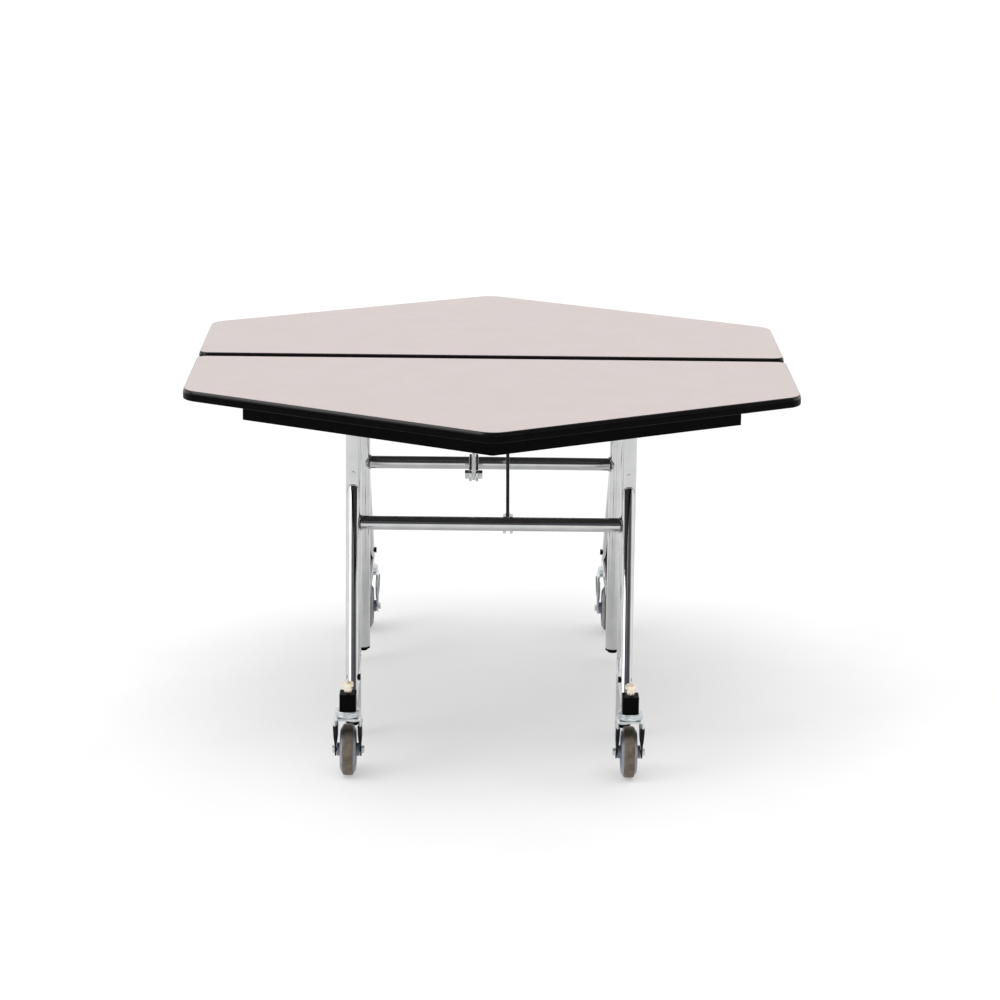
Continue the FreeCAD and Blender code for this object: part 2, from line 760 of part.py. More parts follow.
def make_link_ears(side):
    ears = []
    for hand, sign in HANDS.items():
        name = f"{side}_{hand}_ear"
        body = new_body(f"{name}_body")
        sketch = sketch_on(body, "YZ_Plane")
        nose = f"-({LINK_BOLT_REACH} - ear_nose)"
        polygon(sketch, [
            ("-leg_reach", "crossbar_height - ear_half_height"),
            (nose, f"{LINK_BOLT_HEIGHT} - ear_nose"),
            (nose, f"{LINK_BOLT_HEIGHT} + ear_nose"),
            ("-leg_reach", "crossbar_height + ear_half_height"),
        ])
        pad(body, sketch, "ear_thickness", symmetric=True)
        front = value(nose)
        near = value("ear_round / 2")
        round_edges(
            body,
            "ear_round",
            lambda edge: runs_along(edge, X_AXIS) and abs(edge.Vertexes[0].Y - front) < near,
        )
        move(body, f"link_offset + {sign} * ({EAR_STACK} - ear_thickness / 2)")
        wide = f"{TOOL_WIDTH_SHARE} * link_offset"
        across = (wide, ALONG_X, f"-{wide} / 2")
        bar = ("crossbar_diameter / 2 + weld_gap", *across, "-leg_reach", "crossbar_height")
        bolt = ("link_bolt_diameter / 2 + pin_fit", *across, f"-{LINK_BOLT_REACH}", LINK_BOLT_HEIGHT)
        tools = [cylinder(f"{name}_bar", *bar), cylinder(f"{name}_bolt", *bolt)]
        ears.append(cut(f"{name}_cut", body, tools))
    keep(group(f"{side}_ears", ears), f"{side}_link_ears", side)


def make_link(side):
    body = new_body(f"{side}_link_body")
    sketch = sketch_on(body, "YZ_Plane")
    end = "link_width / 2"
    polygon(sketch, [
        (f"-{end}", f"-{end}"),
        (f"{LINK_LENGTH} + {end}", f"-{end}"),
        (f"{LINK_LENGTH} + {end}", end),
        (f"-{end}", end),
    ])
    pad(body, sketch, "link_thickness", symmetric=True)
    round_edges(body, f"link_width * {ROUND_END_SHARE}", lambda edge: runs_along(edge, X_AXIS))
    holes = sketch_on(body, "YZ_Plane")
    circle(holes, "0", "0", "link_bolt_diameter / 2 + pin_fit")
    circle(holes, LINK_LENGTH, "0", "link_bolt_diameter / 2 + pin_fit")
    pocket_through(body, holes)
    lean = f"atan2({LINK_RISE}; {LINK_RUN})"
    body.Placement = FreeCAD.Placement(FreeCAD.Vector(), FreeCAD.Rotation(X_AXIS, value(lean)))
    bind(body, "Placement.Rotation.Angle", lean)
    move(body, "link_offset", f"-{LINK_BOLT_REACH}", LINK_BOLT_HEIGHT)
    half = f"({LOCK_INNER} / 2 + lock_wall + ear_gap)"
    profile = pin_profile(half, "link_bolt_diameter / 2", "link_washer_diameter / 2", "link_washer_height")
    pin = revolved(f"{side}_link_pin", profile)
    move(pin, "link_offset", "link_pin_reach", LINK_PIN_HEIGHT)
    keep(group(f"{side}_link_pair", [body, pin]), f"{side}_fold_link", side)


def make_bolts(side):
    bolts = []
    half = "(leg_diameter / 2)"
    head = ("leg_rivet_head_diameter / 2", "leg_rivet_head_height")
    for hand in HANDS:
        name = f"{side}_{hand}_bolt"
        rivet = revolved(f"{side}_{hand}_rivet", pin_profile(half, "leg_rivet_diameter / 2", *head))
        rivet.Placement = FreeCAD.Placement(FreeCAD.Vector(), FreeCAD.Rotation(Z_AXIS, 90))
        move(rivet, hand_x(side, hand), "-leg_reach", "leg_rivet_height")
        bolts.append(rivet)
        sign = hand_sign(side, hand)
        x, y, z = strut_bolt_axis(side, hand)
        reach = "(strut_diameter / 2 + strut_bolt_seat)"
        shank = ("strut_bolt_diameter / 2", f"2 * {reach}", ALONG_X, f"{x} - {reach}", y, z)
        half_head = "strut_bolt_head_height / 2"
        inner = f"{x} - {sign} * ({reach} + {half_head}) - {half_head}"
        size = ("strut_bolt_head_across", "strut_bolt_head_height", ALONG_X)
        lower = [cylinder(f"{name}_shank", *shank), hexagon(f"{name}_head", *size, inner, y, z)]
        bolts.append(fuse(f"{name}_lower", lower))
    name = f"{side}_link_bolt"
    place = (f"-{LINK_BOLT_REACH}", LINK_BOLT_HEIGHT)
    left = f"link_offset - {EAR_STACK}"
    right = f"link_offset + {EAR_STACK}"
    shank = ("link_bolt_diameter / 2", f"2 * {EAR_STACK}", ALONG_X, left, *place)
    head = ("link_bolt_head_across", "link_bolt_head_height", ALONG_X)
    pieces = [
        cylinder(f"{name}_shank", *shank),
        hexagon(f"{name}_head", *head, f"{left} - link_bolt_head_height", *place),
        hexagon(f"{name}_nut", *head, right, *place),
    ]
    bolts.append(fuse(name, pieces))
    keep(group(f"{side}_bolts", bolts), f"{side}_frame_bolts", side)


# Swivel casters

def make_sockets(side):
    sockets = []
    for hand in HANDS:
        name = f"{side}_{hand}_socket"
        body = new_body(f"{name}_body")
        sketch = sketch_on(body, "XY_Plane", SOCKET_BOTTOM)
        x = "socket_width / 2"
        y = "socket_depth / 2"
        polygon(sketch, [(f"-{x}", f"-{y}"), (x, f"-{y}"), (x, y), (f"-{x}", y)])
        pad(body, sketch, "socket_height")
        round_edges(body, "socket_round", lambda edge: runs_along(edge, Z_AXIS))
        hole = sketch_on(body, "XY_Plane")
        circle(hole, "0", "0", "stem_diameter / 2 + stem_fit")
        pocket_through(body, hole)
        move(body, hand_x(side, hand), "-socket_reach")
        sockets.append(body)
    keep(group(f"{side}_socket_pair", sockets), f"{side}_caster_sockets", side)


def make_stems(side):
    """The fixed upper half of each caster: its race cup, and its stem with a nut."""
    stems = []
    races = []
    upright = FreeCAD.Placement(FreeCAD.Vector(), FreeCAD.Rotation(Y_AXIS, -90))
    nut_bottom = f"({SOCKET_TOP} + stem_shank_height)"
    tip = f"({nut_bottom} + stem_nut_height + stem_tip_height)"
    rivet_top = f"({CROWN_BOTTOM} - race_gap)"
    for hand in HANDS:
        name = f"{side}_{hand}_stem"
        place = (hand_x(side, hand), "-socket_reach")
        stem = revolved(f"{name}_body", [
            (f"{rivet_top} - stem_rivet_height", "0"),
            (f"{rivet_top} - stem_rivet_height", "stem_rivet_diameter / 2"),
            (rivet_top, "stem_rivet_diameter / 2"),
            (rivet_top, "stem_diameter / 2"),
            (tip, "stem_diameter / 2"),
            (tip, "0"),
        ])
        stem.Placement = upright
        move(stem, *place)
        blank = ("stem_nut_across", "stem_nut_height", ALONG_Z, *place, nut_bottom)
        nut = hexagon(f"{name}_nut_blank", *blank)
        sleeve = ("stem_sleeve_diameter / 2", "stem_shank_height", ALONG_Z, *place, SOCKET_TOP)
        spacer = cylinder(f"{name}_spacer", *sleeve)
        bore = cylinder(f"{name}_nut_bore", "stem_diameter / 2 + stem_fit", tip, ALONG_Z, *place)
        stems += [stem, cut(f"{name}_nut", fuse(f"{name}_nut_solid", [nut, spacer]), [bore])]
        race = revolved(f"{name}_race", [
            (RACE_BOTTOM, "stem_diameter / 2 + stem_fit"),
            (RACE_BOTTOM, "race_diameter / 2 - race_chamfer"),
            (f"{RACE_BOTTOM} + race_chamfer", "race_diameter / 2"),
            (f"{SOCKET_BOTTOM} - race_chamfer", "race_diameter / 2"),
            (SOCKET_BOTTOM, "race_diameter / 2 - race_chamfer"),
            (SOCKET_BOTTOM, "stem_diameter / 2 + stem_fit"),
        ])
        race.Placement = upright
        move(race, *place)
        races.append(race)
    keep(group(f"{side}_stems", stems), f"{side}_caster_stems", side)
    keep(group(f"{side}_races", races), f"{side}_caster_races", side)


def make_fork(side, hand):
    """The swivel fork, bent from one strap, with its axle bolt."""
    name = f"{side}_{hand}_fork"
    axle = "wheel_diameter / 2"
    place = ("caster_trail", axle)
    strap = new_body(f"{name}_strap")
    sketch = sketch_on(strap, "XZ_Plane")
    outer = "fork_width / 2"
    inner = f"({FORK_INNER} / 2)"
    polygon(sketch, [
        (f"-{outer}", CROWN_TOP),
        (f"-{outer}", "0"),
        (f"-{inner}", "0"),
        (f"-{inner}", CROWN_BOTTOM),
        (inner, CROWN_BOTTOM),
        (inner, "0"),
        (outer, "0"),
        (outer, CROWN_TOP),
    ])
    pad(strap, sketch, "wheel_diameter * 2", symmetric=True)
    top = value(CROWN_TOP)
    near = value("fork_crown_wall / 2")
    round_edges(
        strap,
        "fork_shoulder_round",
        lambda edge: runs_along(edge, Y_AXIS) and abs(edge.Vertexes[0].Z - top) < near,
    )
    profile = new_body(f"{name}_profile")
    sketch = sketch_on(profile, "YZ_Plane")
    shoulder = f"{CROWN_TOP} - fork_crown_height"
    polygon(sketch, [
        ("-fork_crown_half_depth", CROWN_TOP),
        ("-fork_crown_half_depth", shoulder),
        ("caster_trail - fork_nose", axle),
        ("caster_trail - fork_nose", f"{axle} - fork_nose"),
        ("caster_trail + fork_nose", f"{axle} - fork_nose"),
        ("caster_trail + fork_nose", axle),
        ("fork_crown_half_depth", shoulder),
        ("fork_crown_half_depth", CROWN_TOP),
    ])
    pad(profile, sketch, "fork_width * 2", symmetric=True)
    bottom = value(f"{axle} - fork_nose")
    near = value("fork_nose_round / 2")
    round_edges(
        profile,
        "fork_nose_round",
        lambda edge: runs_along(edge, X_AXIS) and abs(edge.Vertexes[0].Z - bottom) < near,
    )
    common = doc.addObject("Part::Common", f"{name}_common")
    common.Base = strap
    common.Tool = profile
    wide = "fork_width * 2"
    tools = [
        cylinder(f"{name}_king_hole", "stem_diameter / 2 + stem_fit", f"{CROWN_TOP} * 2", ALONG_Z),
        cylinder(f"{name}_axle_hole", "axle_diameter / 2 + pin_fit", wide, ALONG_X, f"-{wide} / 2", *place),
    ]
    half = "(fork_width / 2)"
    head = ("axle_head_across", "axle_head_height", ALONG_X)
    bolt = [
        cylinder(f"{name}_axle_shank", "axle_diameter / 2", "fork_width", ALONG_X, f"-{half}", *place),
        hexagon(f"{name}_axle_head", *head, f"-{half} - axle_head_height", *place),
        hexagon(f"{name}_axle_nut", *head, half, *place),
    ]
    pair = group(f"{name}_pair", [cut(f"{name}_cut", common, tools), fuse(f"{name}_axle", bolt)])
    keep(pair, f"{side}_{hand}_caster_fork", side, hand_x(side, hand), "-socket_reach")


def make_wheel(side, hand):
    place = (hand_x(side, hand), f"-{WHEEL_REACH}", "wheel_diameter / 2")
    hub = f"({FORK_INNER} / 2 - hub_gap)"
    half_profile = [
        ("tread_width / 2", "tread_seat_radius"),
        ("tread_width / 2", "core_shoulder_radius"),
        ("core_width / 2", "core_edge_radius"),
        ("core_width / 2", "rim_inner_radius"),
        ("web_width / 2", "rim_inner_radius"),
        ("web_width / 2", "hub_radius"),
        (hub, "hub_radius"),
        (hub, "axle_diameter / 2 + pin_fit"),
    ]
    mirrored = [(f"-({x})", radius) for x, radius in reversed(half_profile)]
    core = revolved(f"{side}_{hand}_core", half_profile + mirrored)
    keep(core, f"{side}_{hand}_wheel_core", side, *place)
    edge = "(tread_width / 2 - tread_fit)"
    seat = "tread_seat_radius + tread_fit"
    tread = revolved(f"{side}_{hand}_tread", [
        (f"-{edge}", seat),
        (f"-{edge}", "wheel_diameter / 2 - tread_chamfer"),
        (f"-({edge} - tread_chamfer)", "wheel_diameter / 2"),
        (f"{edge} - tread_chamfer", "wheel_diameter / 2"),
        (edge, "wheel_diameter / 2 - tread_chamfer"),
        (edge, seat),
    ])
    keep(tread, f"{side}_{hand}_wheel_tread", side, *place)


def check_and_write():
    doc.recompute()
    for item in doc.Objects:
        if "Invalid" in item.State or "Error" in item.State:
            raise RuntimeError(f"{item.Label} failed: {item.State}")
    for node, item in nodes.items():
        if item.Shape.isNull() or not item.Shape.isValid() or not item.Shape.Solids:
            raise RuntimeError(f"{node} has no valid solid")
    os.makedirs("parts", exist_ok=True)
    for node, item in nodes.items():
        item.Shape.exportStep(f"parts/{node}.step")


for side in SIDE_TURNS:
    make_top(side)
    make_leg_brackets(side)
    make_lock_bracket(side)
    make_crossbar(side)
    make_foot_caps(side)
    make_link_ears(side)
    make_link(side)
    make_bolts(side)
    make_sockets(side)
    make_stems(side)
    for hand in HANDS:
        make_apron(side, hand)
        make_leg(side, hand)
        make_strut(side, hand)
        make_outrigger(side, hand)
        make_fork(side, hand)
        make_wheel(side, hand)
make_hinges()
check_and_write()
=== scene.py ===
import math

import bmesh
import bpy
from mathutils import Matrix, Vector


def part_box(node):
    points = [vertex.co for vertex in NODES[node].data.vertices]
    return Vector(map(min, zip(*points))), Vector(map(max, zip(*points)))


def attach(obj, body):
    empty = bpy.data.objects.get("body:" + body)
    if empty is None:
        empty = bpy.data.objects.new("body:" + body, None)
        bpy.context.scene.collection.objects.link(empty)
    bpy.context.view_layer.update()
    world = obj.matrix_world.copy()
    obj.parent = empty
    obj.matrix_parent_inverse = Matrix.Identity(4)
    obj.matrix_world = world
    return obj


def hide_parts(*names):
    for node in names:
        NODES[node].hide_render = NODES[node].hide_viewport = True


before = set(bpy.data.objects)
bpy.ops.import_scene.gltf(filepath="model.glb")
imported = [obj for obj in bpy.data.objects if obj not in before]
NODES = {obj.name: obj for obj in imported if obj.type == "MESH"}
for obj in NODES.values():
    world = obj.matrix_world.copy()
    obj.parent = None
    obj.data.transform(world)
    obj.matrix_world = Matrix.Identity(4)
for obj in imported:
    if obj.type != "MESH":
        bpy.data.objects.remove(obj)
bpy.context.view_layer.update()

SIDES = {"front": 1, "rear": -1}
HANDS = {"left": -1, "right": 1}
ALONG_X = (1, 0, 0)
ALONG_Z = (0, 0, 1)
DOWN = (0, 0, -1)
ROOT_3 = math.sqrt(3)

# Sizes in metres that the looks share with the construction
TOP_WIDTH = 1.2192
TOP_HEIGHT = 0.737
TOP_DEPTH = 0.0208
UNDERSIDE = TOP_HEIGHT - TOP_DEPTH
LAMINATE_DEPTH = 0.0012
FOLD_GAP = 0.032
BAND = 0.003
OUTER_CORNER = 0.05
SPLIT_CORNER = 0.022
FLANGE_DEPTH = 0.003
APRON_INSET = 0.051
HINGE_X = 0.33
LEG_X = 0.276
LEG_Y = 0.261
LEG_RADIUS = 0.031750 / 2
LEG_WALL = 0.002
CROSSBAR_RADIUS = 0.0286 / 2
CROSSBAR_Z = 0.448
STRUT_RADIUS = 0.0222 / 2
STRUT_TOP = Vector((0, -(LEG_Y + LEG_RADIUS), 0.509))
STRUT_FOOT = Vector((0, -0.490, 0.1707))
STRUT_TOE = 0.008
SOCKET_Y = 0.527
AXLE_Y = 0.505
AXLE_Z = 0.0508
STEM_RADIUS = 0.006
RACE_RADIUS = 0.0250
RACE_GAP = 0.0004
FORK_WIDTH = 0.053
FORK_WALL = 0.003
FORK_HALF_DEPTH = 0.024
FORK_CROWN_HEIGHT = 0.015
FORK_NOSE = 0.013
WHEEL_RADIUS = 0.0508

# Heights that part the kinds of bolts on a frame
FOOT_BOLT_LIMIT = 0.25
RIVET_LIMIT = 0.5

# How the meshes are smoothed, and how finely they are divided
SMOOTH_ANGLE = math.radians(35)
FLAT_ANGLE = math.radians(0.5)
WELD_DISTANCE = 0.00002
EASE_SEGMENTS = 2
LATHE_COUNT = 72
SCREW_COUNT = 24
WHEEL_COUNT = 96
CORNER_STEPS = 20
CREST_STEPS = 10
BAND_ROUND_STEPS = 6
FOOT_STEPS = 4
RACE_STEPS = 5
CROWN_STEPS = 8

# Widths of the eased edges of construction pieces
EASE = {
    "apron": 0.0008,
    "leg_brackets": 0.0006,
    "pivot_pins": 0.0008,
    "lock_bracket": 0.0006,
    "hinge_leaves": 0.0004,
    "hinge_pins": 0.0006,
    "outrigger": 0.0028,
    "link_ears": 0.0012,
    "frame_bolts": 0.0005,
    "caster_sockets": 0.0016,
    "caster_stems": 0.0007,
    "fold_link": 0.0010,
    "caster_fork": 0.0007,
}

# Laminate and edge band
LAMINATE_CLEARANCE = 0.00005
LAMINATE_EASE = 0.0003
BAND_ROUND = 0.0022
BAND_CREST_DEPTH = 0.0029
BAND_CREST_HEIGHT = 0.0070
CREST_ROUND_SHARE = 0.45

# Screws: the head's profile as shares of its radius, and the places
SCREW_PROFILE = [
    (0, 0),
    (0, 1),
    (0.30, 1),
    (0.52, 0.88),
    (0.66, 0.62),
    (0.68, 0.44),
    (0.30, 0.38),
    (0.28, 0),
]
SCREW_CENTRE = 0.00001
APRON_SCREW_RADIUS = 0.0045
APRON_SCREW_PLACES = (0.06, 0.16, 0.36, 0.46)
HINGE_SCREW_RADIUS = 0.0042
HINGE_SCREW_PLACES = ((-0.055, 0.028), (-0.018, 0.045), (0.018, 0.028), (0.055, 0.045))

# Tubes and weld beads
TUBE_EASE = 0.0006
CROSSBAR_BITE = 0.001
CROSSBAR_BEAD = 0.0021
CROSSBAR_BEAD_COUNT = 56
BEAD_RIPPLES = 9
BEAD_RIPPLE_SHARE = 0.10
STRUT_BITE = 0.0005
STRUT_BEAD = 0.0013
STRUT_COUNT = 64
BEAD_POINTS = 10

# Foot caps and caster races
FOOT_CENTRE = 0.0001
FOOT_ROUND = 0.0015
FOOT_PAD_RADIUS = 0.0105
FOOT_PAD_HEIGHT = 0.0045
FOOT_HEIGHT = 0.0090
FOOT_PLUG_RADIUS = 0.0130
RACE_LOWER_ROUND = 0.0018
RACE_UPPER_ROUND = 0.0022
RACE_GROOVE_HEIGHT = 0.0058
RACE_GROOVE_HALF = 0.0008
RACE_GROOVE_DEPTH = 0.0006

# Rolled edges of the fork's arms
LIP_REACH = 0.0042
LIP_EXTRA = 0.0002
LIP_DEPTH = 0.0030
LIP_BITE = 0.0005
LIP_END_SHARE = 0.78
LIP_POWER = 3
LIP_STEPS = 12
LIP_POINTS = 20
ARM_FACE_MARGIN = 0.0001
ARM_TOP_MARGIN = 0.006
ARM_EDGE_TILT = 0.3

# Wheels: half the core's profile as (radius, along), and the tread
HALF_CORE = [
    (0.0041, 0.0224),
    (0.0122, 0.0224),
    (0.0130, 0.0216),
    (0.0130, 0.0060),
    (0.0142, 0.0050),
    (0.0328, 0.0050),
    (0.0340, 0.0062),
    (0.0340, 0.0147),
    (0.0348, 0.0155),
    (0.0396, 0.0155),
    (0.0408, 0.0151),
    (0.0468, 0.0112),
    (0.0475, 0.0105),
    (0.0430, 0.0105),
]
TREAD_EDGE = 0.01045
TREAD_BORE = 0.04305
TREAD_CORNER = 0.0026
CROWN_INSET = 0.0006
CROWN_DROP = 0.0017
CROWN_POWER = 4

# What the finishes share
EVEN = (1, 1, 1)
PLAIN_SPECULAR = 0.5
TONE_DETAIL = 4
TONE_STOPS = (0.35, 0.65)
WEAR_SCALE_SHARE = 2.3
WEAR_DETAIL = 6
BUMP_DETAIL = 3
BUMP_DISTANCE = 0.0005
FLECK_SCALE = 420
FLECK_DETAIL = 2
FLECK_LOW = (0.97, 0.97, 0.97)
FLECK_HIGH = (1.02, 1.015, 1.015)
FLECK_STOPS = (0.3, 0.6)

# Finishes; bump is (strength, scale)
LAMINATE = {
    "low": (0.456, 0.403, 0.392),
    "high": (0.467, 0.412, 0.402),
    "rough": (0.42, 0.54),
    "scale": 14,
    "specular": 0.2,
}
FINISHES = {
    "top_core": {
        "low": (0.012, 0.010, 0.009),
        "high": (0.026, 0.022, 0.019),
        "rough": (0.55, 0.75),
        "scale": 30,
        "bump": (0.3, 300),
        "stretch": (1, 8, 8),
    },
    "edge_band": {
        "low": (0.0012, 0.0010, 0.0010),
        "high": (0.0024, 0.0021, 0.0021),
        "rough": (0.28, 0.40),
        "scale": 60,
        "bump": (0.10, 900),
        "specular": 0.04,
    },
    "band_crest": {
        "low": (0.0012, 0.0010, 0.0010),
        "high": (0.0024, 0.0021, 0.0021),
        "rough": (0.20, 0.28),
        "scale": 60,
        "specular": 0.35,
    },
    "black_steel": {
        "low": (0.0012, 0.0010, 0.0010),
        "high": (0.0026, 0.0022, 0.0022),
        "rough": (0.35, 0.50),
        "scale": 50,
        "bump": (0.2, 1400),
        "specular": 0.035,
    },
    "chrome": {
        "low": (0.53, 0.535, 0.54),
        "high": (0.60, 0.60, 0.605),
        "rough": (0.05, 0.13),
        "scale": 25,
        "metallic": 1,
    },
    "zinc": {
        "low": (0.46, 0.49, 0.51),
        "high": (0.64, 0.67, 0.68),
        "rough": (0.22, 0.40),
        "scale": 90,
        "metallic": 1,
    },
    "yellow_zinc": {
        "low": (0.84, 0.73, 0.56),
        "high": (0.93, 0.86, 0.74),
        "rough": (0.22, 0.38),
        "scale": 120,
        "metallic": 1,
    },
    "black_plastic": {
        "low": (0.0010, 0.0010, 0.0010),
        "high": (0.0022, 0.0022, 0.0022),
        "rough": (0.38, 0.55),
        "scale": 70,
        "bump": (0.15, 1500),
        "specular": 0.035,
    },
    "wheel_core": {
        "low": (0.21, 0.22, 0.26),
        "high": (0.30, 0.31, 0.36),
        "rough": (0.35, 0.55),
        "scale": 60,
        "bump": (0.1, 900),
    },
    "tread": {
        "low": (0.120, 0.092, 0.066),
        "high": (0.190, 0.150, 0.112),
        "rough": (0.5, 0.72),
        "scale": 80,
        "bump": (0.3, 700),
    },
    # Black oxide on the lower frame bolts, and also painted shade on the fork edges and on the
    # stems below the sockets.
    "black_oxide_and_painted_shade": {
        "low": (0.006, 0.006, 0.007),
        "high": (0.016, 0.017, 0.019),
        "rough": (0.28, 0.45),
        "scale": 120,
        "metallic": 0.7,
        "specular": 0.2,
    },
    "weld": {
        "low": (0.32, 0.31, 0.30),
        "high": (0.62, 0.60, 0.57),
        "rough": (0.25, 0.5),
        "scale": 300,
        "metallic": 1,
        "bump": (0.5, 500),
    },
}

# Values of the floor, the light and the camera
FLOOR_REACH = 40
FLOOR_FINISH = {
    "low": (0.49, 0.49, 0.487),
    "high": (0.51, 0.51, 0.507),
    "rough": (0.65, 0.8),
    "scale": 3,
    "specular": 0.1,
}
FLOOR_GLOW = (1, 1, 0.995, 1)
FLOOR_GLOW_STRENGTH = 0.38
SUN_DIRECTION = Vector((0.04, 0.22, -1))
SUN_ENERGY = 1.1
SUN_WIDTH = math.radians(50)
WORLD_STRENGTH = 1.24
DIM_SIDE = (0.45, -1, -0.33)
DIM_STOPS = (0.25, 0.48)
BRIGHT_COLOUR = (1, 1, 1)
DIM_COLOUR = (0.085, 0.088, 0.095)
LEFT_LIGHT_SIDE = Vector((-0.77, -0.36, 0.52)).normalized()
LEFT_LIGHT_STOPS = (0.94, 0.97)
LEFT_LIGHT_COLOUR = (2.4, 2.4, 2.45)
CAMERA_PLACE = (-0.034, -6.273, 2.027)
CAMERA_YAW = math.radians(-0.5)
CAMERA_PITCH = math.radians(14.27)
CAMERA_ROLL = math.radians(0.72)
CAMERA_LENS = 111.1
CAMERA_SENSOR = 36
CAMERA_CLIP_END = 200


# Materials

def socket_noise(tree, scale, detail, stretch=EVEN):
    """Noise in the piece's own coordinates, so it moves with the piece."""
    coords = tree.nodes.new("ShaderNodeTexCoord")
    mapping = tree.nodes.new("ShaderNodeMapping")
    mapping.inputs["Scale"].default_value = stretch
    noise = tree.nodes.new("ShaderNodeTexNoise")
    noise.inputs["Scale"].default_value = scale
    noise.inputs["Detail"].default_value = detail
    tree.links.new(coords.outputs["Object"], mapping.inputs["Vector"])
    tree.links.new(mapping.outputs["Vector"], noise.inputs["Vector"])
    return noise.outputs["Fac"]


def ramp(tree, source, low, high, stops):
    """A colour that runs from low to high between two stops of a value."""
    node = tree.nodes.new("ShaderNodeValToRGB")
    for element, stop, colour in zip(node.color_ramp.elements, stops, (low, high)):
        element.position = stop
        element.color = (*colour, 1)
    tree.links.new(source, node.inputs["Fac"])
    return node.outputs["Color"]


def spread(tree, source, low, high):
    """A value from 0 to 1 brought to the range from low to high."""
    node = tree.nodes.new("ShaderNodeMapRange")
    node.inputs["To Min"].default_value = low
    node.inputs["To Max"].default_value = high
    tree.links.new(source, node.inputs["Value"])
    return node.outputs["Result"]


def make_material(
    name, low, high, rough, scale, metallic=0, bump=None, stretch=EVEN, specular=PLAIN_SPECULAR
):
    """A finish with uneven colour and wear, and a fine relief if it has a bump."""
    material = bpy.data.materials.new(name)
    material.use_nodes = True
    tree = material.node_tree
    shader = tree.nodes["Principled BSDF"]
    tone = socket_noise(tree, scale, TONE_DETAIL, stretch)
    tree.links.new(ramp(tree, tone, low, high, TONE_STOPS), shader.inputs["Base Color"])
    wear = socket_noise(tree, scale * WEAR_SCALE_SHARE, WEAR_DETAIL, stretch)
    tree.links.new(spread(tree, wear, *rough), shader.inputs["Roughness"])
    shader.inputs["Metallic"].default_value = metallic
    shader.inputs["Specular IOR Level"].default_value = specular
    if bump:
        strength, grain = bump
        relief = tree.nodes.new("ShaderNodeBump")
        relief.inputs["Strength"].default_value = strength
        relief.inputs["Distance"].default_value = BUMP_DISTANCE
        height = socket_noise(tree, grain, BUMP_DETAIL, stretch)
        tree.links.new(height, relief.inputs["Height"])
        tree.links.new(relief.outputs["Normal"], shader.inputs["Normal"])
    return material


def make_laminate():
    """Pale warm grey sheet with soft clouds and a fine fleck."""
    material = make_material("laminate", **LAMINATE)
    tree = material.node_tree
    shader = tree.nodes["Principled BSDF"]
    clouds = shader.inputs["Base Color"].links[0].from_socket
    grain = socket_noise(tree, FLECK_SCALE, FLECK_DETAIL)
    fleck = ramp(tree, grain, FLECK_LOW, FLECK_HIGH, FLECK_STOPS)
    mix = tree.nodes.new("ShaderNodeMix")
    mix.data_type = "RGBA"
    mix.blend_type = "MULTIPLY"
    mix.inputs["Factor"].default_value = 1
    tree.links.new(clouds, mix.inputs["A"])
    tree.links.new(fleck, mix.inputs["B"])
    tree.links.new(mix.outputs["Result"], shader.inputs["Base Color"])
    return material


MATERIALS = {"laminate": make_laminate()}
for name, finish in FINISHES.items():
    MATERIALS[name] = make_material(name, **finish)


# Mesh helpers

def add_mesh(name, points, faces, weld=False):
    """A smooth object with its sharp edges kept; weld joins doubled points and flat faces."""
    mesh = bpy.data.meshes.new(name)
    mesh.from_pydata(points, [], faces)
    work = bmesh.new()
    work.from_mesh(mesh)
    if weld:
        bmesh.ops.remove_doubles(work, verts=work.verts, dist=WELD_DISTANCE)
        bmesh.ops.dissolve_limit(work, angle_limit=FLAT_ANGLE, verts=work.verts, edges=work.edges)
    bmesh.ops.recalc_face_normals(work, faces=work.faces)
    work.to_mesh(mesh)
    work.free()
    for face in mesh.polygons:
        face.use_smooth = True
    mesh.set_sharp_from_angle(angle=SMOOTH_ANGLE)
    item = bpy.data.objects.new(name, mesh)
    bpy.context.scene.collection.objects.link(item)
    return item


def skin(name, rings, loop=False):
    """A surface through rings of equal count, closed by a loop or by two end faces."""
    count = len(rings[0])
    points = [tuple(point) for row in rings for point in row]
    faces = []
    spans = len(rings) if loop else len(rings) - 1
    for index in range(spans):
        low = index * count
        high = ((index + 1) % len(rings)) * count
        for step in range(count):
            following = (step + 1) % count
            faces.append((low + step, low + following, high + following, high + step))
    if not loop:
        faces.append(tuple(range(count)))
        faces.append(tuple(range((len(rings) - 1) * count, len(rings) * count)))
    return add_mesh(name, points, faces)


def full_turn(count):
    return [2 * math.pi * index / count for index in range(count)]


def ring(centre, across, up, radius, count):
    """Points of a circle that two directions span."""
    return [
        centre + radius * (math.cos(angle) * across + math.sin(angle) * up)
        for angle in full_turn(count)
    ]


def lathe(name, centre, axis, profile, loop=False, count=LATHE_COUNT):
    """Turn a profile of (along, radius) about an axis through a centre."""
    axis = Vector(axis).normalized()
    across = axis.orthogonal().normalized()
    up = axis.cross(across)
    rings = [
        ring(Vector(centre) + along * axis, across, up, radius, count)
        for along, radius in profile
    ]
    return skin(name, rings, loop)


def arc(centre_along, centre_radius, radius, start, end, steps):
    """Points of a round in a profile, from a start to an end in degrees."""
    points = []
    for index in range(steps + 1):
        angle = math.radians(start + (end - start) * index / steps)
        along = centre_along + radius * math.cos(angle)
        points.append((along, centre_radius + radius * math.sin(angle)))
    return points


def turned(point, sign):
    """A point written on the front side, turned half round for the rear side."""
    return Vector((sign * point[0], sign * point[1], point[2]))


def turned_rings(rings, sign):
    return [[turned(point, sign) for point in points] for points in rings]


def join(items, name):
    """Merge pieces into the first one, under a new name."""
    work = bmesh.new()
    for item in items:
        work.from_mesh(item.data)
    work.to_mesh(items[0].data)
    work.free()
    for item in items[1:]:
        bpy.data.objects.remove(item)
    items[0].name = name
    return items[0]


